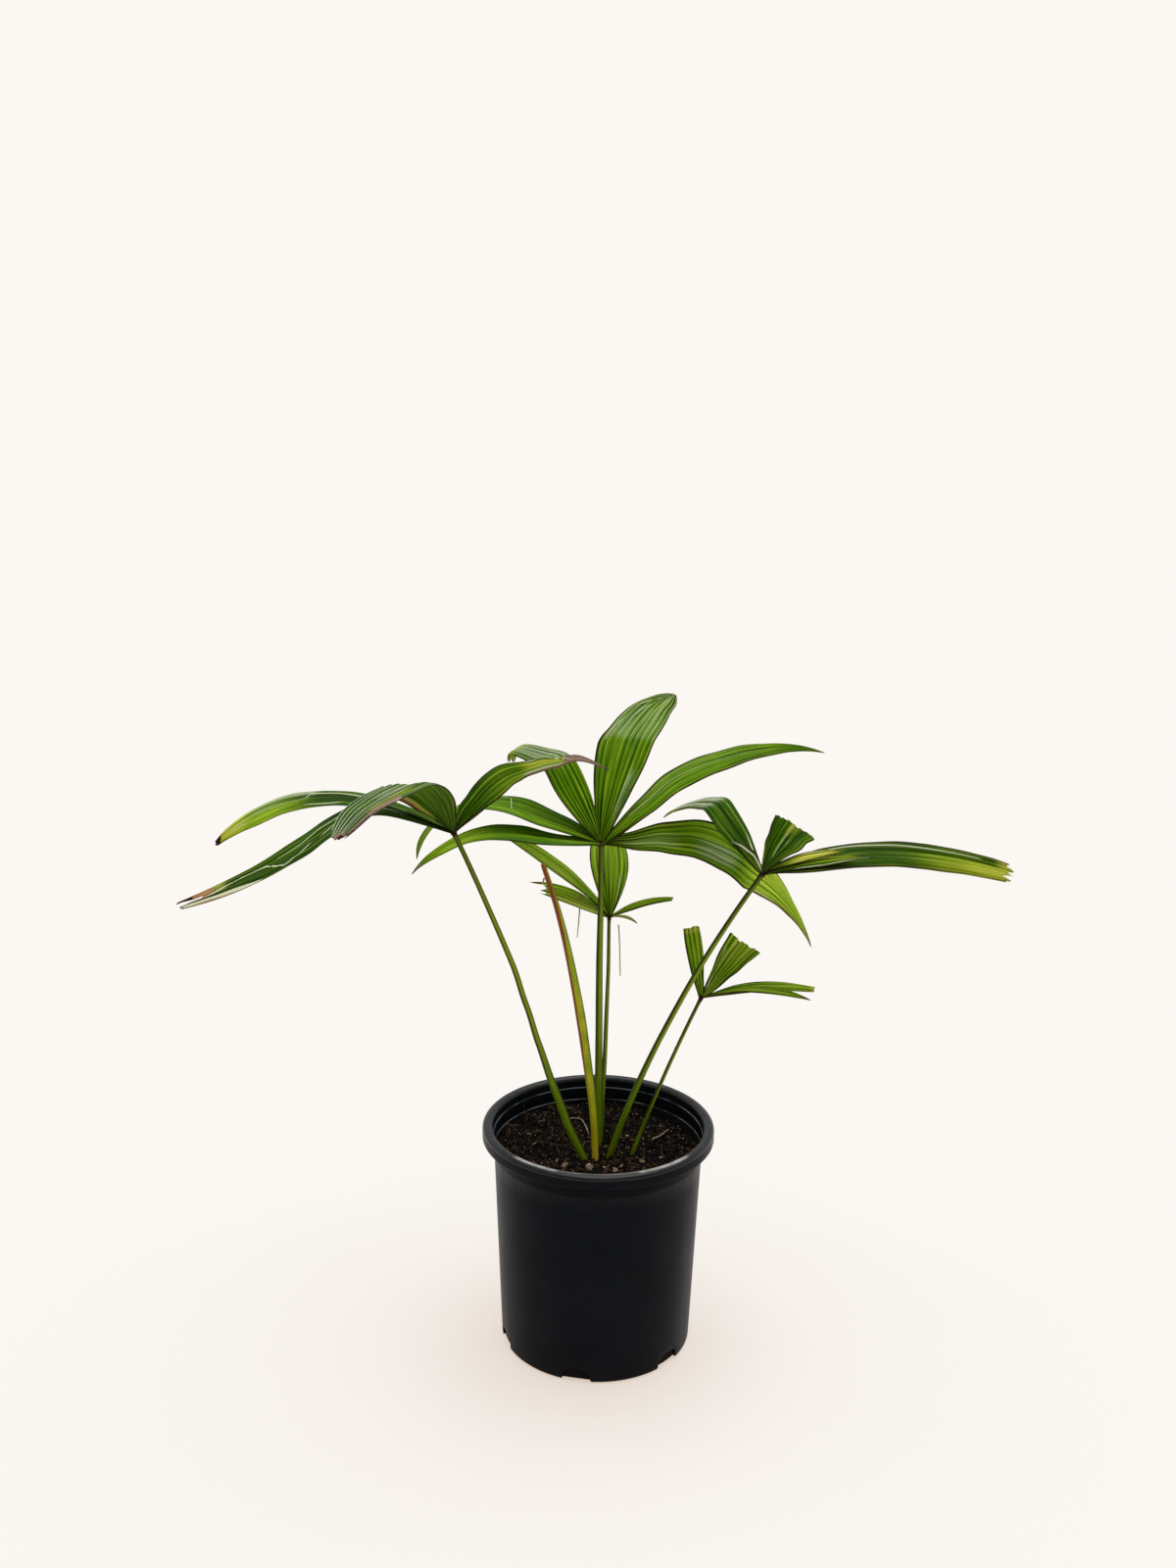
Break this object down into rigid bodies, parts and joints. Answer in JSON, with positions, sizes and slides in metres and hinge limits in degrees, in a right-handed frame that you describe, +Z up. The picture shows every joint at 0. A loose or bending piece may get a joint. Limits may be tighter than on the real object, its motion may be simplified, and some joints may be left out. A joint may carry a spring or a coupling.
{
  "type": "potted fan palm",
  "caption": "Young fan palm with slender stalks and fans of long pleated leaflets, some cut or scorched, in a round black nursery pot of dark bark mix.",
  "frame": {"origin": "middle of the pot's flat underside", "axes": "+Z up along the pot's axis, -Y the front that the picture shows, +X to the right in it"},
  "size_m": [0.7265, 0.3233, 0.5985],
  "materials": {
    "pot": "satin black injection-moulded plastic, lightly scuffed",
    "potting_mix": "coarse dark bark mix with paler chips and fibres",
    "petiole": "smooth green leaf stalk, paler and yellower at the foot",
    "dry_stalk": "dry red-brown cut stalk, yellow-green at the foot",
    "leaf_dark": "leathery dark green ribbed leaf with a grey sheen and brown scorched tips",
    "leaf_green": "leathery mid green ribbed leaf with a soft sheen",
    "leaf_pale": "thin bright green ribbed leaf"
  },
  "bodies": {
    "root": {"pot": "pot", "potting_mix": "potting_mix", "old_spear": "dry_stalk", "left_petiole": "petiole", "left_leaflet_back": "leaf_dark", "left_leaflet_long": "leaf_dark", "left_leaflet_arched_base": "leaf_dark", "left_leaflet_arched_end": "leaf_dark", "left_leaflet_rising_base": "leaf_dark", "left_leaflet_rising_end": "leaf_dark", "tall_petiole": "petiole", "tall_leaflet_low_left": "leaf_green", "tall_leaflet_mid_left_base": "leaf_green", "tall_leaflet_mid_left_end": "leaf_green", "tall_leaflet_folded": "leaf_green", "tall_leaflet_upright": "leaf_green", "tall_leaflet_right": "leaf_green", "tall_leaflet_drooping_base": "leaf_green", "tall_leaflet_drooping_end": "leaf_green", "inner_petiole": "petiole", "inner_leaflet_up_left": "leaf_pale", "inner_leaflet_torn": "leaf_pale", "inner_leaflet_upright": "leaf_pale", "inner_leaflet_cut": "leaf_pale", "inner_leaflet_shoot": "leaf_pale", "right_petiole": "petiole", "right_leaflet_folded": "leaf_dark", "right_leaflet_lip": "leaf_dark", "right_leaflet_cut": "leaf_dark", "right_leaflet_long": "leaf_dark", "low_petiole": "petiole", "low_leaflet_cut_upright": "leaf_pale", "low_leaflet_cut_slanted": "leaf_pale", "low_leaflet_cut_level": "leaf_pale", "low_leaflet_level": "leaf_pale"}
  },
  "joints": []
}
